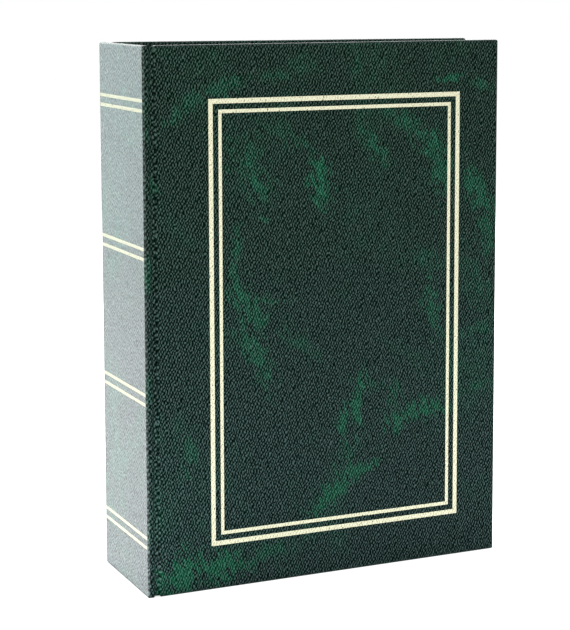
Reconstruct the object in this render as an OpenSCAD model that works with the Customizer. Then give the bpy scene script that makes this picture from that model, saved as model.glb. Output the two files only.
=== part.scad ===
// Stamp stock album: a case-bound book of black card leaves with clear pockets.
// It stands on its tail: X runs from the spine (-X) to the fore-edge (+X), the front
// cover faces -Y and Z runs up from the tail to the head. Millimetres.

/* [Covers] */
// Height of the covers from tail to head
album_h = 225; // [180:1:300]
// Width of the closed album from the spine to the fore-edge
cover_w = 165; // [140:0.5:230]
// Thickness of the two cover boards
board_t = 2.2; // [1.6:0.1:3]
// Thickness of the spine board
spine_board_t = 2.1; // [1.4:0.1:3]
// Thickness of the grained covering material
covering_t = 0.4; // [0.3:0.05:0.6]
// Width of the covering that is turned in over the inside of the boards
turn_in_w = 15; // [10:1:20]
// Rounding of the long edges of the covers and the spine
edge_r = 0.8; // [0.6:0.05:0.9]
// Rounding of the four corners of each cover
corner_r = 1.3; // [1:0.1:2.5]

/* [Joints] */
// Width of the hinge groove between spine and cover
groove_w = 2; // [1.6:0.1:3]
// Depth of the hinge groove below the face of the cover
groove_depth = 0.6; // [0.4:0.1:1]
// Distance of the hinge axis outside the face of the cover
hinge_out = 0.3; // [0.2:0.05:0.6]
// How far the groove's strip stops short of head and tail
groove_inset = 0.6; // [0.4:0.1:2]

/* [Gilding] */
// Distance of the gilt frame from the spine's face
frame_from_spine = 28.4; // [20:0.1:35]
// Distance of the gilt frame from the fore-edge
frame_from_fore = 19.1; // [14:0.1:25]
// Distance of the gilt frame from the head
frame_from_head = 21.8; // [15:0.1:30]
// Distance of the gilt frame from the tail
frame_from_tail = 18.4; // [15:0.1:30]
// Width of the outer gilt line
outer_line_w = 2; // [1:0.1:3]
// Space between the outer and the inner gilt line
line_space = 2.4; // [1:0.1:4]
// Width of the inner gilt line
inner_line_w = 1.5; // [0.8:0.1:2.5]
// Number of paired bands across the spine
band_pairs = 4; // [2:1:6]
// Width of one gilt band on the spine
band_w = 1.45; // [0.8:0.1:2.5]
// Distance between the middles of the two bands of a pair
band_pitch = 4.05; // [3:0.05:6]
// Distance of the first band from the head
bands_from_head = 21.2; // [15:0.1:30]
// Distance of the last band from the tail
bands_from_tail = 20.1; // [15:0.1:30]
// How far the bands stop short of the spine's edges
band_inset = 0.9; // [0.9:0.1:3]
// Depth to which the hot tool presses the gilding in
blocking_depth = 0.15; // [0.12:0.01:0.2]
// Thickness of the foil
foil_t = 0.1; // [0.06:0.01:0.12]

/* [Leaves] */
// Number of card leaves, an even number
leaf_count = 20; // [12:2:20]
// Distance from one leaf to the next at the binding
leaf_pitch = 2.45; // [2.3:0.05:3]
// Distance from one leaf to the next at the fore-edge; an empty album is thinner there
fore_pitch = 1.27; // [1.25:0.01:2.3]
// Thickness of the black card
card_t = 0.5; // [0.4:0.05:0.6]
// Rounding of the leaves' outer corners
leaf_corner_r = 2; // [0.5:0.5:6]
// Squares: how far the covers stand out past the leaves at head and tail
square = 3; // [2:0.5:5]
// How far the covers stand out past the leaves at the fore-edge
fore_square = 4; // [2:0.5:6]
// Thickness of a pastedown or flyleaf
endpaper_t = 0.25; // [0.15:0.05:0.35]
// Air between the cover, the flyleaf and the first leaf
endpaper_gap = 0.3; // [0.3:0.05:0.5]

/* [Binding] */
// Depth of the guards that the leaves are bound to
guard_depth = 4.5; // [3:0.5:7]
// Thickness of one compensation guard
guard_t = 1.5; // [1:0.1:1.7]
// Thickness of the glued back that holds the guards
glued_back_t = 1.4; // [1:0.1:2]
// Thickness of the open-weave mull on the back
mull_t = 0.3; // [0.2:0.05:0.4]
// Thickness of the paper lining on the spine board
lining_t = 0.3; // [0.2:0.05:0.4]
// Hollow between the spine's lining and the mull
hollow = 0.3; // [0.2:0.1:0.6]
// Thickness of the linen hinge of a leaf
linen_t = 0.3; // [0.2:0.02:0.32]
// Free length of the linen between the guard and the card
linen_free = 6.5; // [6:0.5:10]
// Overlap of the linen on each face of the card
linen_lap = 8; // [5:0.5:12]
// Clearance between a guard and the linen that turns at its edge
turn_gap = 0.3; // [0.25:0.05:0.4]

/* [Pockets] */
// Number of clear strips on each page
strip_count = 6; // [3:1:8]
// Height of one clear strip
strip_h = 30; // [15:1:32]
// Thickness of the clear film
film_t = 0.15; // [0.1:0.05:0.2]
// Room for a stamp between the film and the card
pocket_gap = 0.08; // [0.05:0.01:0.1]
// Width of the welded seam along the foot of a strip
seam_w = 1.2; // [0.8:0.1:2]
// Plain margin between the strips and the edges of a page
page_margin = 5; // [3:0.5:8]

/* [Hidden] */
$fn = 48;
overlap = 0.05;      // past a face, for a clean cut or a sound joint
glue_line = 0.02;    // between the linen and the card that it is glued to

// Thickness of a covered board, and of a cover with its pastedown
cover_t = board_t + 2 * covering_t;
lined_cover_t = cover_t + endpaper_t;
spine_t = spine_board_t + 2 * covering_t;

// Positions along X
spine_x = -cover_w / 2;
fore_x = cover_w / 2;
hinge_x = spine_x + spine_t + groove_w / 2;
cover_x = spine_x + spine_t + groove_w;
lining_x = spine_x + spine_t;
mull_x = lining_x + lining_t + hollow;
back_x = mull_x + mull_t;
guard_x = back_x + glued_back_t;
turn_x = guard_x + guard_depth + turn_gap;
leaf_fore_x = fore_x - fore_square;
leaf_w = leaf_fore_x - turn_x;

// Lean of each leaf against the next, and of a cover against the spine, in degrees
leaf_lean = asin((leaf_pitch - fore_pitch) / leaf_w);
cover_lean = leaf_lean * leaf_count / 2;

// End of a cover drawn square to the spine, so that it ends at fore_x once it leans
cover_arm = (fore_x - hinge_x - edge_r + (hinge_out + edge_r) * sin(cover_lean))
            / cos(cover_lean);
cover_end_x = hinge_x + cover_arm + edge_r;

// Positions along Y; the block of leaves fills the case
block_y = leaf_count * leaf_pitch;
lean_room = (turn_x + linen_t - hinge_x) * tan(cover_lean);
album_t = block_y + 2 * (lined_cover_t + lean_room + endpaper_t + 2 * endpaper_gap);
front_y = -album_t / 2;
hinge_y = front_y - hinge_out;
front_flyleaf_y = front_y + lined_cover_t + lean_room + endpaper_gap;
first_leaf_y = front_flyleaf_y + endpaper_t + endpaper_gap + leaf_pitch / 2;

// Positions along Z of the leaves
leaf_z = square;
leaf_h = album_h - 2 * square;
strip_pitch = (leaf_h - 2 * page_margin - strip_h) / (strip_count - 1);
strip_x = linen_free + linen_lap + page_margin;

// Places of the spine's bands
first_band_z = album_h - bands_from_head - band_w;
pair_pitch = (first_band_z - band_pitch - bands_from_tail) / (band_pairs - 1);

// How far the inner gilt line lies inside the frame's outer edge
inner_line_in = outer_line_w + line_space;

function leaf_y(i) = first_leaf_y + (i - 1) * leaf_pitch;
function leaf_angle(i) = leaf_lean * ((leaf_count + 1) / 2 - i);
function leaf_name(i) = str("leaf_", i < 10 ? "0" : "", i);
function strips_name(i) = str(leaf_name(i), "_strips");

leatherette = [0.16, 0.25, 0.22];
gilt = [0.92, 0.88, 0.64];
greyboard = [0.52, 0.50, 0.46];
black_paper = [0.07, 0.07, 0.08];
black_card = [0.10, 0.10, 0.11];
clear_film = [0.80, 0.84, 0.86, 0.5];
linen = [0.86, 0.83, 0.74];

// ---- Shared shapes ----

// Rectangle from corner a to corner b with all corners rounded to r
module rounded_rect(a, b, r) {
  translate([a.x + r, a.y]) square([b.x - a.x - 2 * r, b.y - a.y]);
  translate([a.x, a.y + r]) square([b.x - a.x, b.y - a.y - 2 * r]);
  for (x = [a.x + r, b.x - r], y = [a.y + r, b.y - r])
    translate([x, y]) circle(r = r);
}

// Stands a drawing in X and Z up as a plate from y to y + t
module upright(y, t) {
  translate([0, y + t, 0]) rotate([90, 0, 0]) linear_extrude(height = t) children();
}

// Covered board from corner a to corner b: its long edges are rounded to edge_r
// and its outline, seen along Y, to outline_r
module soft_slab(a, b, outline_r) {
  intersection() {
    linear_extrude(height = b.z) rounded_rect([a.x, a.y], [b.x, b.y], edge_r);
    translate([a.x, 0, 0]) rotate([90, 0, 90]) linear_extrude(height = b.x - a.x)
      rounded_rect([a.y, a.z], [b.y, b.z], edge_r);
    upright(a.y, b.y - a.y) rounded_rect([a.x, a.z], [b.x, b.z], outline_r);
  }
}

// Mirrors a piece of the front to the back
module on_back() {
  mirror([0, 1, 0]) children();
}

// Turns the front cover in on its hinge until it rests on the block, which is
// thinner at the fore-edge than at the binding
module lean_in() {
  translate([hinge_x, hinge_y, 0])
    rotate([0, 0, cover_lean])
      translate([-hinge_x, -hinge_y, 0]) children();
}

// ---- Cover boards and their covering, drawn for the front and square to the spine ----

module board_shape() {
  upright(front_y + covering_t, board_t)
    rounded_rect([cover_x + covering_t, covering_t],
                 [cover_end_x - covering_t, album_h - covering_t], corner_r - covering_t);
}

// The opening that the turned-in covering leaves on the inside of a board
module infill_shape() {
  upright(front_y + covering_t + board_t, covering_t)
    translate([cover_x + turn_in_w, turn_in_w])
      square([cover_end_x - cover_x - 2 * turn_in_w, album_h - 2 * turn_in_w]);
}

module covering_shape() {
  difference() {
    soft_slab([cover_x, front_y, 0], [cover_end_x, front_y + cover_t, album_h], corner_r);
    board_shape();
    infill_shape();
  }
}

module pastedown_shape() {
  upright(front_y + cover_t, endpaper_t)
    translate([cover_x + square, square])
      square([cover_end_x - cover_x - square - fore_square, leaf_h]);
}

// Flat strip at the bottom of the hinge groove, dished along its middle
module groove_cloth_shape() {
  dish_r = groove_w;
  dish_depth = covering_t / 4;
  cover_shift = (hinge_out + groove_depth + covering_t) * sin(cover_lean);
  strip_w = groove_w - cover_shift - turn_gap;
  translate([spine_x + spine_t, front_y + groove_depth, groove_inset])
    linear_extrude(height = album_h - 2 * groove_inset)
      difference() {
        square([strip_w, covering_t]);
        translate([strip_w / 2, dish_depth - dish_r]) circle(r = dish_r);
      }
}

module front_board() {
  color(greyboard) lean_in() board_shape();
}

module back_board() {
  color(greyboard) on_back() lean_in() board_shape();
}

module front_covering() {
  color(leatherette) lean_in()
    difference() {
      covering_shape();
      gilt_frame(0, outer_line_w, blocking_depth, -overlap);
      gilt_frame(inner_line_in, inner_line_w, blocking_depth, -overlap);
    }
}

module back_covering() {
  color(leatherette) on_back() lean_in() covering_shape();
}

module front_groove_cloth() {
  color(leatherette) groove_cloth_shape();
}

module back_groove_cloth() {
  color(leatherette) on_back() groove_cloth_shape();
}

module front_infill() {
  color(greyboard) lean_in() infill_shape();
}

module back_infill() {
  color(greyboard) on_back() lean_in() infill_shape();
}

module front_pastedown() {
  color(black_paper) lean_in() pastedown_shape();
}

module back_pastedown() {
  color(black_paper) on_back() lean_in() pastedown_shape();
}

// ---- Spine ----

module spine_board_shape() {
  translate([spine_x + covering_t, front_y + covering_t, covering_t])
    cube([spine_board_t, album_t - 2 * covering_t, album_h - 2 * covering_t]);
}

// Inside of the spine board between the turn-ins at head and tail
module spine_window_shape() {
  translate([spine_x + covering_t + spine_board_t, front_y + covering_t, turn_in_w])
    cube([covering_t + overlap, album_t - 2 * covering_t, album_h - 2 * turn_in_w]);
}

module spine_board() {
  color(greyboard) spine_board_shape();
}

module spine_covering() {
  color(leatherette)
    difference() {
      soft_slab([spine_x, front_y, 0], [spine_x + spine_t, front_y + album_t, album_h], edge_r);
      spine_board_shape();
      spine_window_shape();
      spine_band_bars(blocking_depth, -overlap);
    }
}

// Paper that lines the spine between the turn-ins and laps over them
module spine_lining() {
  side = covering_t + endpaper_gap;
  color(black_paper)
    union() {
      translate([lining_x, front_y + lined_cover_t, square])
        cube([lining_t, album_t - 2 * lined_cover_t, leaf_h]);
      translate([lining_x - covering_t, front_y + side, turn_in_w])
        cube([covering_t, album_t - 2 * side, album_h - 2 * turn_in_w]);
    }
}

// ---- Gilding, pressed into the covering ----

// Square frame of width w, which lies inset inside the gilt frame's outer edge. It
// reaches from depth below the face of the front cover to proud of that depth
module gilt_frame(inset, w, depth, proud) {
  a = [spine_x + frame_from_spine + inset, frame_from_tail + inset];
  b = [cover_end_x - frame_from_fore - inset, album_h - frame_from_head - inset];
  upright(front_y + proud, depth - proud)
    difference() {
      translate(a) square(b - a);
      translate(a + [w, w]) square(b - a - 2 * [w, w]);
    }
}

// Paired bands across the spine, from depth below its face to proud
module spine_band_bars(depth, proud) {
  for (pair = [0 : band_pairs - 1], line = [0, 1])
    translate([spine_x + proud, front_y + band_inset,
               first_band_z - pair * pair_pitch - line * band_pitch])
      cube([depth - proud, album_t - 2 * band_inset, band_w]);
}

module front_outer_line() {
  color(gilt) lean_in()
    gilt_frame(0, outer_line_w, blocking_depth, blocking_depth - foil_t);
}

module front_inner_line() {
  color(gilt) lean_in()
    gilt_frame(inner_line_in, inner_line_w, blocking_depth, blocking_depth - foil_t);
}

module spine_bands() {
  color(gilt) spine_band_bars(blocking_depth, blocking_depth - foil_t);
}

// ---- Book block ----

// Loose half of the endpaper, which turns like a leaf and lies along the cover
module flyleaf_shape() {
  translate([turn_x, front_flyleaf_y + endpaper_t / 2, 0])
    rotate([0, 0, cover_lean])
      upright(-endpaper_t / 2, endpaper_t)
        translate([linen_t, leaf_z]) square([leaf_w - linen_t, leaf_h]);
}

module front_flyleaf() {
  color(black_paper) flyleaf_shape();
}

module back_flyleaf() {
  color(black_paper) on_back() flyleaf_shape();
}

module mull() {
  color(linen)
    translate([mull_x, first_leaf_y - leaf_pitch / 2, leaf_z + page_margin])
      cube([mull_t, block_y, leaf_h - 2 * page_margin]);
}

// Comb of compensation guards on the glued back, one guard to each leaf
module guards() {
  color(black_card) {
    translate([back_x, leaf_y(1) - guard_t / 2, leaf_z])
      cube([glued_back_t, block_y - leaf_pitch + guard_t, leaf_h]);
    for (i = [1 : leaf_count])
      translate([guard_x - overlap, leaf_y(i) - guard_t / 2, leaf_z])
        cube([guard_depth + overlap, guard_t, leaf_h]);
  }
}

// Card of a leaf, drawn with its turning line at the origin and its middle on y = 0
module card_shape() {
  upright(-card_t / 2, card_t)
    difference() {
      translate([linen_free, leaf_z]) square([leaf_w - linen_free, leaf_h]);
      for (top = [0, 1])
        translate([leaf_w - leaf_corner_r,
                   leaf_z + (top == 1 ? leaf_h - leaf_corner_r : leaf_corner_r)])
          difference() {
            translate([0, top == 1 ? 0 : -leaf_corner_r - overlap])
              square([leaf_corner_r, leaf_corner_r] + overlap * [1, 1]);
            circle(r = leaf_corner_r);
          }
    }
}

// Linen hinge: a single cloth up to the card, then one lap on each face of it
module linen_shape() {
  fork_x = linen_free - glue_line;
  fork_t = card_t + 2 * (glue_line + linen_t);
  slot_t = card_t + 2 * glue_line;
  translate([0, 0, leaf_z])
    linear_extrude(height = leaf_h)
      difference() {
        union() {
          translate([turn_gap, -linen_t / 2]) square([fork_x - turn_gap, linen_t]);
          translate([fork_x - linen_t, -fork_t / 2]) square([linen_lap + linen_t, fork_t]);
        }
        translate([fork_x, -slot_t / 2]) square([linen_lap + overlap, slot_t]);
      }
}

// One clear strip on the page that faces +Y: film with a welded seam at its foot
module strip_shape(z) {
  strip_w = leaf_w - strip_x - page_margin;
  translate([strip_x, card_t / 2 + pocket_gap, z]) cube([strip_w, film_t, strip_h]);
  translate([strip_x, card_t / 2, z]) cube([strip_w, pocket_gap + film_t, seam_w]);
}

// Hangs a leaf's piece on its turning line, leaning towards the middle of the block
module leaf_place(i) {
  translate([turn_x, leaf_y(i), 0]) rotate([0, 0, leaf_angle(i)]) children();
}

module leaf(i) {
  color(black_card) leaf_place(i) {
    card_shape();
    linen_shape();
  }
}

module leaf_strips(i) {
  color(clear_film)
    leaf_place(i)
      for (side = [0, 1], k = [0 : strip_count - 1])
        mirror([0, side, 0]) strip_shape(leaf_z + page_margin + k * strip_pitch);
}

front_board();
back_board();
spine_board();
front_covering();
back_covering();
spine_covering();
front_groove_cloth();
back_groove_cloth();
front_outer_line();
front_inner_line();
spine_bands();
front_infill();
back_infill();
front_pastedown();
back_pastedown();
front_flyleaf();
back_flyleaf();
spine_lining();
mull();
guards();
for (i = [1 : leaf_count])
  leaf(i);
for (i = [1 : leaf_count])
  leaf_strips(i);
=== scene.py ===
# %% [markdown]
# # A stamp album in marbled leatherette
# The album is a case-bound book: two covered boards and a flat spine, joined by a strip of
# covering in each hinge groove, round a block of black card leaves with clear pockets. Its
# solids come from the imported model, which is the frame. This lesson gives them their
# finishes, adds what bends, and lights them.

# %% Load the frame
import math

import bpy
import bmesh
from mathutils import Matrix, Vector


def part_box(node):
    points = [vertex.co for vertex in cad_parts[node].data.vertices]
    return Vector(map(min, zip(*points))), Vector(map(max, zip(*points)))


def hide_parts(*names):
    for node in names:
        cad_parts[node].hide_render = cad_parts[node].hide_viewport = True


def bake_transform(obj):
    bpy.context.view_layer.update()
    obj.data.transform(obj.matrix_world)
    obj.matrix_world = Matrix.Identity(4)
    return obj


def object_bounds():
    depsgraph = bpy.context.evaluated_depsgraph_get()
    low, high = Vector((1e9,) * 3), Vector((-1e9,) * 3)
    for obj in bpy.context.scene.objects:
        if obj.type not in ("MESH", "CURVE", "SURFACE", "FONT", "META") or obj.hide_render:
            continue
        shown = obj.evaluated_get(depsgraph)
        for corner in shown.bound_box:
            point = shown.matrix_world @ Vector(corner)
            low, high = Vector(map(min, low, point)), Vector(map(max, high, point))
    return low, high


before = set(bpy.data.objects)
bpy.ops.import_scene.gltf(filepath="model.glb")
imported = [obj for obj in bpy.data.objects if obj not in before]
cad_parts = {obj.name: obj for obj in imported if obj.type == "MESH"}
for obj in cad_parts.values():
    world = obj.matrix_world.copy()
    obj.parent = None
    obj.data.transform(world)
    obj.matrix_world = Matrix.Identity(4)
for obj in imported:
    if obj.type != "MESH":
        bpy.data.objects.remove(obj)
cad_low, cad_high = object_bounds()
MM = 0.001
print("nodes:", len(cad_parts), "box in mm:", [round(v / MM, 1) for v in cad_high - cad_low])

# %% [markdown]
# Blender builds a material or a node group from nodes and links. Both could be wired line
# by line. Short helpers keep the wiring readable: one adds a node and fills its sockets,
# a few do one sum each, one makes a group with named inputs and outputs, one places it in
# a material, and one starts a material that has a single Principled shader.

# %% Helpers that do one sum


def add(tree, kind, sockets=None, **settings):
    """Adds a node of this kind. A socket takes a value, or another node's output."""
    node = tree.nodes.new(kind)
    for key, value in settings.items():
        setattr(node, key, value)
    for key, value in (sockets or {}).items():
        if isinstance(value, bpy.types.NodeSocket):
            tree.links.new(value, node.inputs[key])
        else:
            node.inputs[key].default_value = value
    return node


def maths(tree, operation, a, b=0.0, clamp=False):
    """One sum of two numbers or outputs, as an output."""
    node = add(tree, "ShaderNodeMath", {0: a, 1: b}, operation=operation, use_clamp=clamp)
    return node.outputs[0]


def remap(tree, value, low, high, out_low=0.0, out_high=1.0):
    """A smooth step of value from low..high to out_low..out_high."""
    node = add(tree, "ShaderNodeMapRange",
               {"Value": value, "From Min": low, "From Max": high,
                "To Min": out_low, "To Max": out_high}, interpolation_type="SMOOTHSTEP")
    return node.outputs["Result"]


def vector_maths(tree, operation, a, b):
    """One sum of two vectors or outputs, as an output. A dot product gives a number."""
    node = add(tree, "ShaderNodeVectorMath", {0: a, 1: b}, operation=operation)
    return node.outputs["Value" if operation == "DOT_PRODUCT" else "Vector"]


def scaled_by(tree, vector, amount):
    """A vector times a number, as an output."""
    node = add(tree, "ShaderNodeVectorMath", {0: vector, "Scale": amount}, operation="SCALE")
    return node.outputs["Vector"]


def push_by_noise(tree, vector, scale, detail, amount):
    """A push that wanders from place to place, by half of amount at most, as an output."""
    cloud = add(tree, "ShaderNodeTexNoise",
                {"Vector": vector, "Scale": scale, "Detail": detail})
    centred = vector_maths(tree, "SUBTRACT", cloud.outputs["Color"], (0.5, 0.5, 0.5))
    return scaled_by(tree, centred, amount)


FACTOR, FIRST_COLOUR, SECOND_COLOUR = 0, 6, 7  # sockets of a Mix node that mixes colours
MIXED_COLOUR = 2


def blend_colours(tree, share, first, second):
    """Mixes two colours by share, as an output."""
    node = add(tree, "ShaderNodeMix",
               {FACTOR: share, FIRST_COLOUR: first, SECOND_COLOUR: second}, data_type="RGBA")
    return node.outputs[MIXED_COLOUR]


print("sums: numbers, smooth steps, vectors, colours")

# %% Helpers for groups and materials
FLOAT, VECTOR = "NodeSocketFloat", "NodeSocketVector"


def new_group(name, inputs, outputs):
    """A node group with these inputs, as (name, type, default), and these outputs."""
    tree = bpy.data.node_groups.new(name, "ShaderNodeTree")
    for label, kind, default in inputs:
        socket = tree.interface.new_socket(label, in_out="INPUT", socket_type=kind)
        if default is not None:
            socket.default_value = default
    for label, kind in outputs:
        tree.interface.new_socket(label, in_out="OUTPUT", socket_type=kind)
    return tree, tree.nodes.new("NodeGroupInput"), tree.nodes.new("NodeGroupOutput")


def place(tree, group, sockets):
    """Puts a group into a material, with that material's own values."""
    return add(tree, "ShaderNodeGroup", sockets, node_tree=group)


def new_material(name):
    """A material with one Principled shader: (material, its tree, the shader)."""
    material = bpy.data.materials.new(name)
    material.use_nodes = True
    tree = material.node_tree
    return material, tree, tree.nodes["Principled BSDF"]


print("helpers ready")

# %% [markdown]
# ## Grain
# Bookbinding leatherette is embossed with short wavy ridges, a little more than a millimetre
# apart, which lean to one side. A picture of leather could be wrapped round the boards, but it
# would stretch and repeat. Here three sine waves cross at different angles, and noise pushes
# each out of step, so that the ridges they add up to bend, fork and break off.

# %% Grain group
GRAIN_PITCH, GRAIN_WANDER, FINE_WANDER = 1.25, 1.8, 0.55  # mm, then parts of a wave
WANDER_CELLS, FINE_WANDER_CELLS, SPECKLE_CELLS = 0.5, 1.3, 3.0  # noise cells in one pitch
DRAWN_OUT = (1, 1, 0.6)  # the noise is longer along Z
# For each wave: its steps along X, Y and Z, the part of the noise that pushes it, its share
GRAIN_WAVES = (((0.84, 0.84, -0.54), "X", 0.25), ((0.95, 0.95, 0.30), "Y", 0.17),
               ((0.60, 0.60, 0.80), "Z", 0.11))
MEAN_HEIGHT, SPECKLE_SHARE = 0.42, 0.14
CREASE_HEIGHTS, TOP_HEIGHTS = (0.23, 0.50), (0.50, 0.85)


def leather_grain():
    """Embossed ridges: their height, the creases between them and their raised tops."""
    tree, given, out = new_group(
        "Leather Grain",
        [("Vector", VECTOR, None), ("Pitch", FLOAT, GRAIN_PITCH),
         ("Wander", FLOAT, GRAIN_WANDER)],
        [("Height", FLOAT), ("Crease", FLOAT), ("Top", FLOAT)])
    scaled = scaled_by(tree, given.outputs["Vector"],
                       maths(tree, "DIVIDE", 1 / MM, given.outputs["Pitch"]))
    drawn = vector_maths(tree, "MULTIPLY", scaled, DRAWN_OUT)
    pushes = []
    for cells, amount in ((WANDER_CELLS, given.outputs["Wander"]),
                          (FINE_WANDER_CELLS, FINE_WANDER)):
        push = push_by_noise(tree, drawn, cells, 1.0, amount)
        pushes.append(add(tree, "ShaderNodeSeparateXYZ", {0: push}))
    height = 0.0
    for steps, part, share in GRAIN_WAVES:
        along = vector_maths(tree, "DOT_PRODUCT", scaled, steps)
        for push in pushes:
            along = maths(tree, "ADD", along, push.outputs[part])
        wave = maths(tree, "SINE", maths(tree, "MULTIPLY", along, 2 * math.pi))
        height = maths(tree, "ADD", height, maths(tree, "MULTIPLY", wave, share))
    speckle = add(tree, "ShaderNodeTexNoise",
                  {"Vector": scaled, "Scale": SPECKLE_CELLS, "Detail": 1.0})
    height = maths(tree, "ADD", maths(tree, "ADD", height, MEAN_HEIGHT),
                   maths(tree, "MULTIPLY", speckle.outputs["Fac"], SPECKLE_SHARE), clamp=True)
    tree.links.new(height, out.inputs["Height"])
    tree.links.new(remap(tree, height, *CREASE_HEIGHTS, 1.0, 0.0), out.inputs["Crease"])
    tree.links.new(remap(tree, height, *TOP_HEIGHTS), out.inputs["Top"])
    return tree


GRAIN = leather_grain()
print("group:", GRAIN.name)

# %% [markdown]
# ## Marbling
# The covering is marbled: a dark top colour is dabbed on a brighter green, and the green
# shows through where a brush or a sponge took the top colour off. Faint clouds lie all
# over the sheet, and some strokes of the brush show as streaky dabs. They could be painted
# on each cover as a picture, but a picture blurs close up. So one group makes the clouds
# from noise. A second makes one dab from its middle and its two directions, and the
# streaks that fray it come in from outside, because all dabs share them.

# %% Marbling groups
CLOUD_EDGE = (0.48, 0.68)  # values of the noise between which a cloud fades in
CLOUD_STREAKS, CLOUD_PULL = 260.0, (1.0, 1.0, 0.45)  # how fine, and longer along Z
STREAK_EDGE, STREAK_FLOOR = (0.38, 0.62), 0.3


def clouds():
    """Faint clouds of the brighter ground colour, as a mask from 0 to 1."""
    tree, given, out = new_group(
        "Clouds",
        [("Vector", VECTOR, None), ("Size", FLOAT, 45.0), ("Seed", FLOAT, 0.0)],
        [("Mask", FLOAT)])
    slow = add(tree, "ShaderNodeTexNoise",
               {"Vector": given.outputs["Vector"], "W": given.outputs["Seed"],
                "Scale": maths(tree, "DIVIDE", 1 / MM, given.outputs["Size"]),
                "Detail": 4.0, "Roughness": 0.62, "Distortion": 0.8}, noise_dimensions="4D")
    drawn = vector_maths(tree, "MULTIPLY", given.outputs["Vector"], CLOUD_PULL)
    streaks = add(tree, "ShaderNodeTexNoise",
                  {"Vector": drawn, "Scale": CLOUD_STREAKS, "Detail": 3.0, "Distortion": 0.7})
    cloud = remap(tree, slow.outputs["Fac"], *CLOUD_EDGE)
    streak = remap(tree, streaks.outputs["Fac"], *STREAK_EDGE, STREAK_FLOOR, 1.0)
    tree.links.new(maths(tree, "MULTIPLY", cloud, streak), out.inputs["Mask"])
    return tree


DAB_BODY = 1.15  # the mask in the middle of a dab, before the streaks fray it


def dab():
    """One frayed stroke. Along and Across reach 1 at its ends and at its sides."""
    tree, given, out = new_group(
        "Dab",
        [("Vector", VECTOR, None), ("Fray", FLOAT, 0.0), ("Middle", VECTOR, (0, 0, 0)),
         ("Along", VECTOR, (0, 0, 1)), ("Across", VECTOR, (1, 0, 0)), ("Strength", FLOAT, 1.0)],
        [("Mask", FLOAT)])
    moved = vector_maths(tree, "SUBTRACT", given.outputs["Vector"], given.outputs["Middle"])
    along, across = [vector_maths(tree, "DOT_PRODUCT", moved, given.outputs[way])
                     for way in ("Along", "Across")]
    spread = maths(tree, "SQRT", maths(tree, "ADD", maths(tree, "MULTIPLY", along, along),
                                       maths(tree, "MULTIPLY", across, across)))
    body = maths(tree, "ADD", maths(tree, "SUBTRACT", DAB_BODY, spread), given.outputs["Fray"])
    tree.links.new(maths(tree, "MULTIPLY", remap(tree, body, 0.0, DAB_BODY),
                         given.outputs["Strength"]), out.inputs["Mask"])
    return tree


CLOUDS, DAB = clouds(), dab()
print("groups:", CLOUDS.name, DAB.name)

# %% [markdown]
# ## Edge wear
# A board rubs along its outline first, where the covering is stretched over the edge. A
# Bevel node or the mesh's pointiness could find such edges, but the first is slow, and the
# second needs a dense mesh. The distance to the nearest side of the board's own box is
# known from its coordinates, so a narrow band along it, broken up by noise, is a mask of
# where the surface is polished.

# %% Edge wear group
RUB_SCALE, RUB_BREAKS = 160.0, (0.35, 0.65)


def edge_wear():
    """How far a point lies in the rubbed band along the sides of a box in X and Z."""
    tree, given, out = new_group(
        "Edge Wear",
        [("Vector", VECTOR, None), ("Low", VECTOR, (0, 0, 0)), ("High", VECTOR, (1, 1, 1)),
         ("Width", FLOAT, 1.2), ("Patchiness", FLOAT, 0.5)],
        [("Mask", FLOAT)])
    above = vector_maths(tree, "SUBTRACT", given.outputs["Vector"], given.outputs["Low"])
    below = vector_maths(tree, "SUBTRACT", given.outputs["High"], given.outputs["Vector"])
    parts = add(tree, "ShaderNodeSeparateXYZ", {0: vector_maths(tree, "MINIMUM", above, below)})
    inside = maths(tree, "MINIMUM", parts.outputs["X"], parts.outputs["Z"])
    band = maths(tree, "MULTIPLY", given.outputs["Width"], MM)
    near = remap(tree, inside, 0.0, band, 1.0, 0.0)
    rub = add(tree, "ShaderNodeTexNoise",
              {"Vector": given.outputs["Vector"], "Scale": RUB_SCALE, "Detail": 4.0,
               "Roughness": 0.65})
    broken = remap(tree, rub.outputs["Fac"], *RUB_BREAKS)
    patch = maths(tree, "SUBTRACT", 1.0, given.outputs["Patchiness"])
    share = maths(tree, "ADD", patch, maths(tree, "MULTIPLY", broken, given.outputs["Patchiness"]))
    tree.links.new(maths(tree, "MULTIPLY", near, share, clamp=True), out.inputs["Mask"])
    return tree


EDGE_WEAR = edge_wear()
print("group:", EDGE_WEAR.name)

# %% [markdown]
# ## Paper fibre
# Card, endpaper and greyboard are all felted from fibres. Close up their surface is a
# fine, slightly cloudy unevenness with short lighter fibres in it. The fibres could be
# modelled as hairs, but they would weigh the model down, and nobody would see them. So one
# noise makes the felt, and of a second, drawn out and bent, only the peaks are kept.

# %% Paper fibre group
FELT_SCALE, FIBRE_SCALE, FIBRE_PULL = 2.0, 3.0, (1.0, 1.0, 0.25)
FIBRE_PEAKS = (0.62, 0.72)


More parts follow.
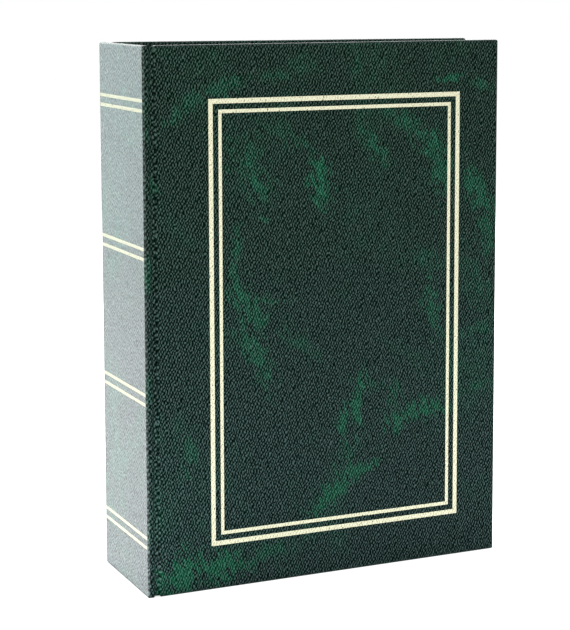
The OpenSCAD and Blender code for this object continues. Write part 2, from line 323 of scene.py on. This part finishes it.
def paper_fibre():
    """Felted surface of paper or board: its height and a mask of stray light fibres."""
    tree, given, out = new_group(
        "Paper Fibre",
        [("Vector", VECTOR, None), ("Fibre", FLOAT, 1.0)],
        [("Height", FLOAT), ("Fibres", FLOAT)])
    scaled = scaled_by(tree, given.outputs["Vector"],
                       maths(tree, "DIVIDE", 1 / MM, given.outputs["Fibre"]))
    felt = add(tree, "ShaderNodeTexNoise",
               {"Vector": scaled, "Scale": FELT_SCALE, "Detail": 4.0, "Roughness": 0.7})
    drawn = vector_maths(tree, "MULTIPLY", scaled, FIBRE_PULL)
    stray = add(tree, "ShaderNodeTexNoise",
                {"Vector": drawn, "Scale": FIBRE_SCALE, "Detail": 2.0, "Distortion": 1.6})
    tree.links.new(felt.outputs["Fac"], out.inputs["Height"])
    tree.links.new(remap(tree, stray.outputs["Fac"], *FIBRE_PEAKS), out.inputs["Fibres"])
    return tree


FIBRE = paper_fibre()
print("group:", FIBRE.name)

# %% [markdown]
# ## Leatherette
# The covering is a dark green film over cloth. Its colour comes from the marbling. A painted
# shade makes it nearly black in the creases of the grain, and a painted highlight makes it
# lighter on the tops of the ridges, which are also polished. Towards the tail the sheet is
# painted a little lighter and bluer, a painted sheen, and towards the head it is greener. The
# gloss could be the body's own specular level, but a mask on that socket is lost when the
# model is exported. So it is a coat over a matt body: faint on the ridges, stronger where
# the covering is rubbed along an edge or pressed smooth on the spine. The strokes on the
# front cover are listed one by one, each as a line between two points, with half its width
# and its strength.

# %% Leatherette colours and strokes
# Painted highlight: the ridge colours are lighter than the body colours, for the sheen on the tops
# of the grain.
# Painted sheen: the tail colours are lighter and bluer than the head colours.
TAIL_GREEN_WITH_SHEEN, TAIL_RIDGE_HIGHLIGHT = (0.0036, 0.0140, 0.0115, 1), (0.0530, 0.0910, 0.0870, 1)
HEAD_GREEN, HEAD_RIDGE_HIGHLIGHT = (0.0026, 0.0120, 0.0080, 1), (0.0420, 0.0760, 0.0600, 1)
CLOUD_GREEN = (0.0045, 0.0640, 0.0330, 1)
CLOUD_RIDGE_HIGHLIGHT = (0.0380, 0.1420, 0.0900, 1)
# Painted shade: near black for the creases of the grain; the foil's pits, where the foil missed,
# use it too.
SHADE_AND_PIT_BLACK = (0.0005, 0.0030, 0.0018, 1)
# Painted sheen: between these heights the lighter, bluer tail colour fades into the head colour.
TAIL_SHEEN_FADE = (0.020, 0.215)  # heights between which the sheet turns from bluer to greener
RUBBED_GREEN = (0.050, 0.078, 0.068, 1)

# For each stroke: start x, start z, end x, end z and half width in mm, and its strength
FRONT_DABS = (
    (-38, 182, -30, 155, 2.5, 0.75), (-42, 190, -30, 161, 6.5, 0.35), (-6, 177, -3, 160, 3.5, 1),
    (-11, 187, -6, 173, 2, 0.6), (-5, 164, 0, 155, 2.5, 0.6), (16, 189, 29, 173, 2.5, 0.7),
    (27, 196, 46, 188, 3, 0.6), (44, 190, 54, 175, 4, 0.8), (53, 179, 56, 160, 4, 0.7),
    (65, 172, 80, 149, 3.5, 0.75), (76, 154, 81, 134, 3.5, 0.6), (51, 209, 70, 209, 1.5, 0.95),
    (68, 207, 81, 203, 1.5, 0.6), (-41, 153, -44, 127, 1.5, 0.6), (-44, 128, -38, 115, 3.5, 0.8),
    (-41, 119, -22, 118, 2, 0.7), (-39, 118, -31, 107, 3, 0.65), (-40, 111, -27, 85, 3.5, 0.65),
    (-21, 109, -5, 93, 2.5, 0.4), (16, 83, 14, 60, 2, 0.9), (9, 72, 6, 56, 2, 0.8),
    (8, 57, 11, 43, 2.5, 0.4), (11, 82, 31, 78, 2, 0.35), (31, 82, 33, 70, 2, 0.6),
    (29, 63, 57, 69, 3.5, 1), (-8, 27, 11, 44, 3.5, 0.9), (8, 42, 25, 45, 2, 0.8),
    (50, 121, 53, 98, 2.5, 0.7), (67, 98, 82, 102, 2.5, 0.6), (66, 70, 82, 79, 2, 0.55),
    (-80, 2, -56, 11, 6, 1), (-60, 8, -41, 10, 4.5, 1), (-45, 9, -15, 14, 3, 0.6),
    (-72, 193, -55, 206, 2.5, 0.5), (-58, 206, -42, 209, 2.5, 0.55), (-36, 211, -8, 213, 2, 0.4),
    (12, 222, 14, 206, 2, 0.4), (-81, 162, -79, 172, 2, 0.5), (-65, 52, -62, 64, 2.5, 0.5),
    (35, 134, 57, 130, 3.5, 0.35), (67, 130, 80, 107, 5.5, 0.35), (-31, 192, -13, 185, 3.5, 0.35),
)
print("strokes:", len(FRONT_DABS))

# %% Strokes as one mask
STRAY_SCALE, STRAY = 70.0, 9 * MM  # the noise that bends the strokes, and how far
STREAK_SCALE, STREAK_TURN, STREAK_DEPTH = 480.0, 0.5, 4.6  # per metre, radians, share
STREAK_PULL = (1.0, 1.0, 0.4)
SIDE_REACH = 1.7  # the frayed sides of a stroke reach past its width


def dabs_mask(tree, spot, strokes):
    """The strongest of all strokes at each point."""
    wandering = vector_maths(tree, "ADD", spot,
                             push_by_noise(tree, spot, STRAY_SCALE, 2.0, STRAY))
    turned = add(tree, "ShaderNodeVectorRotate",
                 {"Vector": spot, "Axis": (0, 1, 0), "Angle": STREAK_TURN})
    drawn = vector_maths(tree, "MULTIPLY", turned.outputs[0], STREAK_PULL)
    streaks = add(tree, "ShaderNodeTexNoise",
                  {"Vector": drawn, "Scale": STREAK_SCALE, "Detail": 3.0, "Roughness": 0.7})
    fray = maths(tree, "MULTIPLY", maths(tree, "SUBTRACT", streaks.outputs["Fac"], 0.5),
                 STREAK_DEPTH)
    strongest = 0.0
    for x1, z1, x2, z2, half_width, strength in strokes:
        way = Vector((x2 - x1, 0, z2 - z1)) * MM
        side = Vector((way.z, 0, -way.x)).normalized()
        reach = way.length / 2 + half_width * MM
        stroke = place(tree, DAB, {
            "Vector": wandering, "Fray": fray,
            "Middle": ((x1 + x2) / 2 * MM, 0, (z1 + z2) / 2 * MM),
            "Along": tuple(way.normalized() / reach),
            "Across": tuple(side / (half_width * SIDE_REACH * MM)), "Strength": strength})
        strongest = maths(tree, "MAXIMUM", strongest, stroke.outputs["Mask"])
    return strongest


print("strokes stray by", round(STRAY / 2 / MM, 1), "mm at most")

# %% Leatherette material
CLOUD_SIZE, CLOUD_SHARE, CLOUD_SHARE_BY_STROKES = 42.0, 0.7, 0.3
# Under the strokes the painted shade in the creases is lighter.
DABS_LIGHTEN_CREASE_SHADE, RUB_SHARE, EDGE_POLISH = 0.4, 0.3, 0.65
RUB = {"Width": 1.3, "Patchiness": 0.6}
POLISHED_EDGE = {"Width": 0.5, "Patchiness": 0.2}
RIDGES = (0.1, 0.9)  # heights of the grain from its creases to its tops
RIDGE_ROUGHNESS, RIDGE_POLISH = (0.55, 0.36), (0.0, 0.22)
PRESSED_RIDGES, PRESSED_POLISH = (0.2, 0.8), (0.40, 1.0)
PRESSED_DEPTH, PRESSED_SKIN = 0.6 * MM, 2.6 * MM  # the skin: spare width and edge rounding
COAT_ROUGHNESS = 0.42
GRAIN_BUMP, GRAIN_RELIEF = 0.6, 0.16 * MM


def leatherette(name, low, high, seed, strokes=(), pressed=False):
    """The covering of one board, whose outline runs from low to high."""
    material, tree, shader = new_material(name)
    spot = add(tree, "ShaderNodeTexCoord").outputs["Object"]
    parts = add(tree, "ShaderNodeSeparateXYZ", {0: spot})
    grain = place(tree, GRAIN, {"Vector": spot, "Pitch": GRAIN_PITCH, "Wander": GRAIN_WANDER})
    height = grain.outputs["Height"]
    cloud = place(tree, CLOUDS, {"Vector": spot, "Size": CLOUD_SIZE, "Seed": seed})
    bright = maths(tree, "MULTIPLY", cloud.outputs["Mask"],
                   CLOUD_SHARE_BY_STROKES if strokes else CLOUD_SHARE)
    if strokes:
        bright = maths(tree, "MAXIMUM", bright, dabs_mask(tree, spot, strokes))

    # Painted sheen: the sheet is painted lighter and bluer towards the tail.
    up = remap(tree, parts.outputs["Z"], *TAIL_SHEEN_FADE)
    deep = blend_colours(tree, up, TAIL_GREEN_WITH_SHEEN, HEAD_GREEN)
    ridge_highlight = blend_colours(tree, up, TAIL_RIDGE_HIGHLIGHT, HEAD_RIDGE_HIGHLIGHT)
    # Painted highlight: the tops of the ridges take the lighter ridge colours.
    raised = blend_colours(tree, grain.outputs["Top"],
                           blend_colours(tree, bright, deep, CLOUD_GREEN),
                           blend_colours(tree, bright, ridge_highlight, CLOUD_RIDGE_HIGHLIGHT))
    # Painted shade: the creases are painted nearly black, less so under the strokes.
    smooth = maths(tree, "SUBTRACT", 1.0, maths(tree, "MULTIPLY", bright, DABS_LIGHTEN_CREASE_SHADE))
    creases = maths(tree, "MULTIPLY", grain.outputs["Crease"], smooth)
    wear = place(tree, EDGE_WEAR, {"Vector": spot, "Low": low, "High": high, **RUB})
    rubbed = blend_colours(tree, maths(tree, "MULTIPLY", wear.outputs["Mask"], RUB_SHARE),
                           blend_colours(tree, creases, raised, SHADE_AND_PIT_BLACK), RUBBED_GREEN)
    tree.links.new(rubbed, shader.inputs["Base Color"])
    tree.links.new(remap(tree, height, *RIDGES, *RIDGE_ROUGHNESS), shader.inputs["Roughness"])

    edge = place(tree, EDGE_WEAR, {"Vector": spot, "Low": low, "High": high, **POLISHED_EDGE})
    polish = maths(tree, "MAXIMUM", remap(tree, height, *RIDGES, *RIDGE_POLISH),
                   maths(tree, "MULTIPLY", edge.outputs["Mask"], EDGE_POLISH))
    if pressed:
        depth = maths(tree, "SUBTRACT", parts.outputs["X"], low[0] + PRESSED_SKIN)
        face = maths(tree, "MULTIPLY", remap(tree, depth, 0.0, PRESSED_DEPTH, 1.0, 0.0),
                     remap(tree, height, *PRESSED_RIDGES, *PRESSED_POLISH))
        polish = maths(tree, "MAXIMUM", polish, face)
    tree.links.new(polish, shader.inputs["Coat Weight"])
    shader.inputs["Coat Roughness"].default_value = COAT_ROUGHNESS
    shader.inputs["Specular IOR Level"].default_value = 0.0
    bump = add(tree, "ShaderNodeBump",
               {"Strength": GRAIN_BUMP, "Distance": GRAIN_RELIEF, "Height": height})
    tree.links.new(bump.outputs[0], shader.inputs["Normal"])
    return material


print("relief of the grain in mm:", GRAIN_RELIEF / MM)

# %% Leatherette for the covers and the spine


def outline(node, spine_side, fore_side=0.0):
    """Box of a node, wider in X, so that nothing is rubbed along the hinges."""
    low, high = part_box(node)
    return (low.x - spine_side, low.y, low.z), (high.x + fore_side, high.y, high.z)


COVER_SEED, BACK_SEED, SPINE_SEED = 3.7, 8.2, 12.6
PAST_GROOVE, PAST_SPINE = 5 * MM, 2 * MM
front_leather = leatherette("front leatherette", *outline("front_covering", PAST_GROOVE),
                            COVER_SEED, FRONT_DABS)
back_leather = leatherette("back leatherette", *outline("back_covering", PAST_GROOVE),
                           BACK_SEED)
spine_leather = leatherette("spine leatherette",
                            *outline("spine_covering", PAST_SPINE, PAST_SPINE), SPINE_SEED,
                            pressed=True)
print("leatherette:", front_leather.name, back_leather.name, spine_leather.name)

# %% [markdown]
# ## Gilding
# The lines are stamped with a hot tool through pale gold foil. The foil takes up the
# grain below it, and it misses the bottom of a crease here and there, which leaves tiny
# dark pits. In the other creases the foil is painted darker, a painted shade. The lines
# could be painted on the cover with a mask, but here they are solids, so they only need a
# finish that shares the covering's grain. The bands on the spine are a darker, less glossy
# copy of the foil, a painted shade that offsets the bright lamps on the spine.

# %% Gilding material
# Painted shade: the second colour of each pair darkens the foil in the creases of the grain.
FOIL, FOIL_CREASE_SHADE = (0.68, 0.67, 0.49, 1), (0.38, 0.36, 0.22, 1)
# Painted shade: the spine's foil is a darker, less glossy copy of the foil, set against the bright
# lamps on the spine.
SPINE_FOIL_DIMMED, SPINE_FOIL_DIMMED_SHADE = (0.43, 0.42, 0.32, 1), (0.35, 0.34, 0.24, 1)
FLECK_SCALE, FLECKS_THAT_PIT = 1500.0, (0.60, 0.68)
CREASE_SHADE = 0.6  # how far the foil darkens in a crease
FOIL_RIDGES, FOIL_ROUGHNESS = (0.2, 0.9), (0.5, 0.32)
FOIL_BUMP, FOIL_RELIEF = 0.3, 0.08 * MM


def gilding(name, foil_colour, crease_shade_colour, metallic, gloss):
    """Hot-stamped foil with the grain showing through."""
    material, tree, shader = new_material(name)
    spot = add(tree, "ShaderNodeTexCoord").outputs["Object"]
    grain = place(tree, GRAIN, {"Vector": spot, "Pitch": GRAIN_PITCH, "Wander": GRAIN_WANDER})
    flecks = add(tree, "ShaderNodeTexNoise",
                 {"Vector": spot, "Scale": FLECK_SCALE, "Detail": 2.0})
    pits = maths(tree, "MULTIPLY", remap(tree, grain.outputs["Crease"], 0.0, 0.6),
                 remap(tree, flecks.outputs["Fac"], *FLECKS_THAT_PIT))
    # Painted shade: the foil is darkened in the creases.
    shade = blend_colours(tree, maths(tree, "MULTIPLY", grain.outputs["Crease"], CREASE_SHADE),
                          foil_colour, crease_shade_colour)
    tree.links.new(blend_colours(tree, pits, shade, SHADE_AND_PIT_BLACK), shader.inputs["Base Color"])
    shader.inputs["Metallic"].default_value = metallic
    shader.inputs["Specular IOR Level"].default_value = gloss
    rough = remap(tree, grain.outputs["Height"], *FOIL_RIDGES, *FOIL_ROUGHNESS)
    tree.links.new(rough, shader.inputs["Roughness"])
    bump = add(tree, "ShaderNodeBump", {"Strength": FOIL_BUMP, "Distance": FOIL_RELIEF,
                                        "Height": grain.outputs["Height"]})
    tree.links.new(bump.outputs[0], shader.inputs["Normal"])
    return material


foil = gilding("pale gold foil", FOIL, FOIL_CREASE_SHADE, metallic=0.5, gloss=0.5)
# Painted shade: a darker, less glossy copy of the foil for the brightly lit spine.
spine_foil_dimmed = gilding("dimmed gold foil", SPINE_FOIL_DIMMED, SPINE_FOIL_DIMMED_SHADE, metallic=0.2, gloss=0.0)
print("foil:", foil.name, spine_foil_dimmed.name)

# %% [markdown]
# ## Papers and card
# Greyboard stiffens the covers, black endpapers line them, and the leaves are black card.
# All three are felted papers. They could be three materials wired one by one, but one
# function with their own colours, fibre lengths and relief keeps them alike.

# %% Paper materials
FIBRE_SHARE = 0.45  # how far a stray fibre takes on its own colour
FELT, FELT_POLISH = (0.3, 0.7), 0.12
PAPER_GLOSS, PAPER_BUMP = 0.2, 0.4


def paper(name, colour, fibre_colour, fibre, roughness, relief):
    """A matt felted sheet. Fibre and relief are in mm."""
    material, tree, shader = new_material(name)
    spot = add(tree, "ShaderNodeTexCoord").outputs["Object"]
    felt = place(tree, FIBRE, {"Vector": spot, "Fibre": fibre})
    mixed = blend_colours(tree, maths(tree, "MULTIPLY", felt.outputs["Fibres"], FIBRE_SHARE),
                          colour, fibre_colour)
    tree.links.new(mixed, shader.inputs["Base Color"])
    tree.links.new(remap(tree, felt.outputs["Height"], *FELT, roughness,
                         roughness - FELT_POLISH), shader.inputs["Roughness"])
    shader.inputs["Specular IOR Level"].default_value = PAPER_GLOSS
    bump = add(tree, "ShaderNodeBump", {"Strength": PAPER_BUMP, "Distance": relief * MM,
                                        "Height": felt.outputs["Height"]})
    tree.links.new(bump.outputs[0], shader.inputs["Normal"])
    return material


greyboard = paper("grey bookboard", (0.26, 0.25, 0.22, 1), (0.42, 0.40, 0.36, 1),
                  fibre=1.2, roughness=0.95, relief=0.08)
endpaper = paper("black endpaper", (0.016, 0.016, 0.018, 1), (0.05, 0.05, 0.055, 1),
                 fibre=0.8, roughness=0.8, relief=0.03)
card = paper("black card", (0.013, 0.013, 0.014, 1), (0.045, 0.045, 0.05, 1),
             fibre=0.9, roughness=0.75, relief=0.04)
print("papers:", greyboard.name, endpaper.name, card.name)

# %% [markdown]
# ## Clear strips
# Each pocket is a strip of crystal-clear film, welded to the card along its foot. Real
# film is seen by its gloss and its edges. It could be glass that refracts, but that is
# slow and noisy in a stack of twenty leaves, so it is a glossy film with a low alpha, which
# lets most of the card show through.

# %% Film material
FILM_TINT, RIPPLES = (0.72, 0.76, 0.78, 1), (0.3, 0.7)
FILM_ROUGHNESS, FILM_ALPHA = (0.10, 0.20), (0.16, 0.24)
RIPPLE_SCALE, FILM_BUMP, FILM_RELIEF = 60.0, 0.2, 0.3 * MM


def clear_film():
    """Thin clear film, a little milky."""
    material, tree, shader = new_material("clear film")
    spot = add(tree, "ShaderNodeTexCoord").outputs["Object"]
    ripple = add(tree, "ShaderNodeTexNoise",
                 {"Vector": spot, "Scale": RIPPLE_SCALE, "Detail": 2.0})
    tree.links.new(remap(tree, ripple.outputs["Fac"], *RIPPLES, *FILM_ROUGHNESS),
                   shader.inputs["Roughness"])
    shader.inputs["Base Color"].default_value = FILM_TINT
    tree.links.new(remap(tree, ripple.outputs["Fac"], *RIPPLES, *FILM_ALPHA),
                   shader.inputs["Alpha"])
    bump = add(tree, "ShaderNodeBump", {"Strength": FILM_BUMP, "Distance": FILM_RELIEF,
                                        "Height": ripple.outputs["Fac"]})
    tree.links.new(bump.outputs[0], shader.inputs["Normal"])
    return material


film = clear_film()
print("film:", film.name)

# %% [markdown]
# ## Mull
# The back of the book block is lined with mull, a starched open cotton weave. Woven from
# real threads it would be thousands of pieces in a place that hardly shows, so two crossed
# waves stand for the threads, and the higher one lies on top.

# %% Mull material
THREAD, BETWEEN_THREADS = (0.66, 0.61, 0.50, 1), (0.20, 0.18, 0.14, 1)
THREAD_SCALE, THREAD_WANDER = 260.0, 0.6
MULL_ROUGHNESS, MULL_BUMP, THREAD_RELIEF = 0.9, 0.5, 0.1 * MM


def mull_cloth():
    """Open cotton weave."""
    material, tree, shader = new_material("cotton mull")
    spot = add(tree, "ShaderNodeTexCoord").outputs["Object"]
    threads = []
    for axis in ("Y", "Z"):
        threads.append(add(tree, "ShaderNodeTexWave",
                           {"Vector": spot, "Scale": THREAD_SCALE, "Distortion": THREAD_WANDER,
                            "Detail": 1.0},
                           bands_direction=axis).outputs["Fac"])
    weave = maths(tree, "MAXIMUM", *threads)
    tree.links.new(blend_colours(tree, weave, BETWEEN_THREADS, THREAD),
                   shader.inputs["Base Color"])
    shader.inputs["Roughness"].default_value = MULL_ROUGHNESS
    bump = add(tree, "ShaderNodeBump",
               {"Strength": MULL_BUMP, "Distance": THREAD_RELIEF, "Height": weave})
    tree.links.new(bump.outputs[0], shader.inputs["Normal"])
    return material


mull = mull_cloth()
print("mull:", mull.name)

# %% [markdown]
# ## Dressing the solids
# Each solid of the frame keeps its shape and gets the material of its piece. The pieces
# could be dressed one by one, but a list from name to finish shows at a glance what is made
# of what. The leaves and their strips are found by their names.

# %% Give every solid its finish
FINISH = {
    "front_covering": front_leather, "back_covering": back_leather,
    "spine_covering": spine_leather,
    "front_outer_line": foil, "front_inner_line": foil, "spine_bands": spine_foil_dimmed,
    "front_board": greyboard, "back_board": greyboard, "spine_board": greyboard,
    "front_infill": greyboard, "back_infill": greyboard,
    "front_pastedown": endpaper, "back_pastedown": endpaper,
    "front_flyleaf": endpaper, "back_flyleaf": endpaper, "spine_lining": endpaper,
    "mull": mull, "guards": card,
}
replaced = ("front_groove_cloth", "back_groove_cloth")
for name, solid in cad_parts.items():
    if name in replaced:
        continue
    if name.endswith("_strips"):
        finish = film
    elif name.startswith("leaf_"):
        finish = card
    else:
        finish = FINISH[name]
    solid.data.materials.clear()
    solid.data.materials.append(finish)
print("dressed:", len(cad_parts) - len(replaced))

# %% [markdown]
# ## Hinge grooves
# Between the spine and each cover the covering dips into a groove with no board behind
# it, and this strip bends when the cover opens. A rigid strip would tear away from the
# cover, so it is a fine mesh, which runs from the spine at one side to the cover at the
# other.

# %% Mesh of a groove strip
spine_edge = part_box("spine_covering")[1].x
cover_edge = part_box("front_covering")[0].x
groove_low, groove_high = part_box("front_groove_cloth")
groove_out, groove_thick = abs(groove_low.y), groove_high.y - groove_low.y
GROOVE_COLUMNS, GROOVE_ROWS = 16, 40
GROOVE_DIP = 0.25 * MM


def groove_ring(mesh, side, z):
    """Vertices round the strip at one height, along its outer face and back."""
    ring = []
    for skin in (0, 1):
        columns = range(GROOVE_COLUMNS + 1)
        for column in columns if skin == 0 else reversed(columns):
            share = column / GROOVE_COLUMNS
            dip = GROOVE_DIP * math.sin(math.pi * share)
            x = spine_edge + (cover_edge - spine_edge) * share
            y = groove_out - dip - skin * groove_thick
            ring.append(mesh.verts.new((x, side * y, z)))
    return ring


def groove_mesh(name, side):
    """A strip with two faces and closed edges; side is -1 at the front and 1 at the back."""
    mesh = bmesh.new()
    height = groove_high.z - groove_low.z
    rows = [groove_ring(mesh, side, groove_low.z + height * row / GROOVE_ROWS)
            for row in range(GROOVE_ROWS + 1)]
    count = len(rows[0])
    for lower, upper in zip(rows, rows[1:]):
        for i in range(count):
            j = (i + 1) % count
            mesh.faces.new((lower[i], lower[j], upper[j], upper[i]))
    for ring in (rows[0], rows[-1]):
        for i in range(GROOVE_COLUMNS):
            j = count - 1 - i
            mesh.faces.new((ring[i], ring[i + 1], ring[j - 1], ring[j]))
    bmesh.ops.recalc_face_normals(mesh, faces=mesh.faces)
    data = bpy.data.meshes.new(name)
    mesh.to_mesh(data)
    mesh.free()
    for face in data.polygons:
        face.use_smooth = True
    return data


print("groove in mm:", round((cover_edge - spine_edge) / MM, 2), "wide")

# %% Strips between the spine and the covers


def groove_strip(name, side, finish):
    """A strip of covering between the spine and one cover, in the place of its solid."""
    data = groove_mesh(name, side)
    data.materials.append(finish)
    piece = bpy.data.objects.new(name, data)
    bpy.context.scene.collection.objects.link(piece)
    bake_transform(piece)
    return piece


front_strip = groove_strip("front_groove_strip", -1, front_leather)
back_strip = groove_strip("back_groove_strip", 1, back_leather)
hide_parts("front_groove_cloth")
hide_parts("back_groove_cloth")
print("groove strips:", len(front_strip.data.vertices), "vertices each")

# %% [markdown]
# ## Floor and background
# The album stands on a white surface in front of white. More light would make them white,
# but it would bleach the album as well. So the floor and the world are bright only to the
# camera and to what mirrors or refracts them, and the album's soft shadow stays.

# %% Floor
FLOOR_GREY, FLOOR_ROUGHNESS, FLOOR_GLOW = (0.86, 0.86, 0.86, 1), 0.9, 0.65
FLOOR_REACH, FLOOR_GAP = 3.0, 0.1 * MM


def seen_directly(tree):
    """1 for the camera and for what mirrors or refracts the background, else 0."""
    rays = add(tree, "ShaderNodeLightPath")
    return maths(tree, "MAXIMUM", rays.outputs["Is Camera Ray"],
                 maths(tree, "MAXIMUM", rays.outputs["Is Glossy Ray"],
                       rays.outputs["Is Transmission Ray"]))


def white_floor():
    """A floor that is white to the camera and keeps the album's soft shadow."""
    material, tree, shader = new_material("white floor")
    shader.inputs["Base Color"].default_value = FLOOR_GREY
    shader.inputs["Roughness"].default_value = FLOOR_ROUGHNESS
    shader.inputs["Specular IOR Level"].default_value = 0.0
    shader.inputs["Emission Color"].default_value = (1, 1, 1, 1)
    tree.links.new(maths(tree, "MULTIPLY", seen_directly(tree), FLOOR_GLOW),
                   shader.inputs["Emission Strength"])
    mesh = bpy.data.meshes.new("floor")
    corners = [(x * FLOOR_REACH, y * FLOOR_REACH, 0)
               for x, y in ((-1, -1), (1, -1), (1, 1), (-1, 1))]
    mesh.from_pydata(corners, [], [(0, 1, 2, 3)])
    mesh.materials.append(material)
    floor = bpy.data.objects.new("floor", mesh)
    floor.location.z = cad_low.z - FLOOR_GAP
    bpy.context.scene.collection.objects.link(floor)
    return floor


floor = white_floor()
print("floor at", floor.location.z)

# %% World


def white_world(strength):
    """Dim even light, with white where the camera looks past the floor."""
    world = bpy.data.worlds.new("studio")
    bpy.context.scene.world = world
    world.use_nodes = True
    tree = world.node_tree
    tree.nodes.clear()
    fill = add(tree, "ShaderNodeBackground", {"Color": (1, 1, 1, 1), "Strength": strength})
    white = add(tree, "ShaderNodeBackground", {"Color": (1, 1, 1, 1), "Strength": 1.0})
    mix = add(tree, "ShaderNodeMixShader",
              {0: seen_directly(tree), 1: fill.outputs[0], 2: white.outputs[0]})
    add(tree, "ShaderNodeOutputWorld", {"Surface": mix.outputs[0]})
    return world


FILL_LIGHT = 0.45
print("world:", white_world(FILL_LIGHT).name)

# %% [markdown]
# ## Lamps
# A large soft lamp to the left of the front lights the covers plainly, and one above and
# behind draws the bright line along the head. The spine is seen at a low angle, so it
# mirrors what stands behind it: a tall panel and a flat one on the table beside it give it
# the even pale sheen. A weak panel on the table lifts the foot of the front cover, as a
# white table does. Small bare lamps would be simpler, but they would leave hard glints.

# %% Lamps
COOL, PALE_COOL, SPINE_COOL = (0.86, 0.97, 1.0), (0.95, 0.965, 1.0), (0.83, 0.98, 1.0)
WHITE = (1, 1, 1)


def soft_lamp(name, place_at, aim_at, size, brightness, colour):
    """A rectangular soft lamp at a point, turned towards another."""
    data = bpy.data.lights.new(name, "AREA")
    data.shape = "RECTANGLE"
    data.size, data.size_y = size
    data.energy = brightness * math.pi * size[0] * size[1]
    data.color = colour
    lamp = bpy.data.objects.new(name, data)
    lamp.location = place_at
    lamp.rotation_mode = "QUATERNION"
    lamp.rotation_quaternion = (Vector(aim_at) - Vector(place_at)).to_track_quat("-Z", "Y")
    lamp.visible_camera = False
    bpy.context.scene.collection.objects.link(lamp)
    return lamp


MIDDLE = (0, 0, 0.11)
LAMPS = (
    # Name, place, aim, size, brightness and colour; the panels on the table face up
    ("front key", (-0.60, -1.35, 1.00), MIDDLE, (0.9, 0.9), 7.8, WHITE),
    ("head light", (0.4, 1.0, 0.66), MIDDLE, (1.6, 1.0), 4.2, WHITE),
    ("spine panel", (-0.42, 0.78, 0.46), (-0.08, 0, 0.46), (0.7, 0.9), 3.8, SPINE_COOL),
    ("spine table panel", (-0.2429, 0.30, 0.0004), (-0.2429, 0.30, 1), (0.32, 0.84), 3.05,
     PALE_COOL),
    ("front table panel", (0.05, -0.175, 0.0006), (0.05, -0.175, 1), (0.60, 0.285), 0.45,
     COOL),
)
for row in LAMPS:
    soft_lamp(*row)

# %% [markdown]
# ## Camera
# A long lens from nearly a metre away keeps the sides of the album almost upright and
# parallel. A short lens close by would show the same sides, but it would swell the nearer
# corner. The picture is moved down a little instead of tilting the camera more.

# %% Camera
LENS_MM, SENSOR_MM = 116.07, 36.0
CAMERA_AT = Vector((-332.6, -795.9, 248.4)) * MM
TURNED_LEFT, TILTED_DOWN, ROLLED = 22.06, 7.48, -0.17
SHIFT_DOWN = 0.1
NEAREST, FARTHEST = 0.01, 20.0  # metres from the camera, outside which nothing is drawn


def camera():
    """A long lens a little above the head of the album, to the left of its front."""
    data = bpy.data.cameras.new("camera")
    data.lens = LENS_MM
    data.sensor_width = SENSOR_MM
    data.shift_y = -SHIFT_DOWN
    data.clip_start, data.clip_end = NEAREST, FARTHEST
    eye = bpy.data.objects.new("camera", data)
    turn = (Matrix.Rotation(math.radians(-TURNED_LEFT), 4, "Z")
            @ Matrix.Rotation(math.radians(90 - TILTED_DOWN), 4, "X")
            @ Matrix.Rotation(math.radians(ROLLED), 4, "Z"))
    eye.matrix_world = Matrix.Translation(CAMERA_AT) @ turn
    bpy.context.scene.collection.objects.link(eye)
    bpy.context.scene.camera = eye
    return eye


camera()
bpy.context.scene.view_settings.view_transform = "Standard"
print("camera", LENS_MM, "mm")

# %% [markdown]
# The last step brings the view layer up to date.

# %% Finish
bpy.context.view_layer.update()
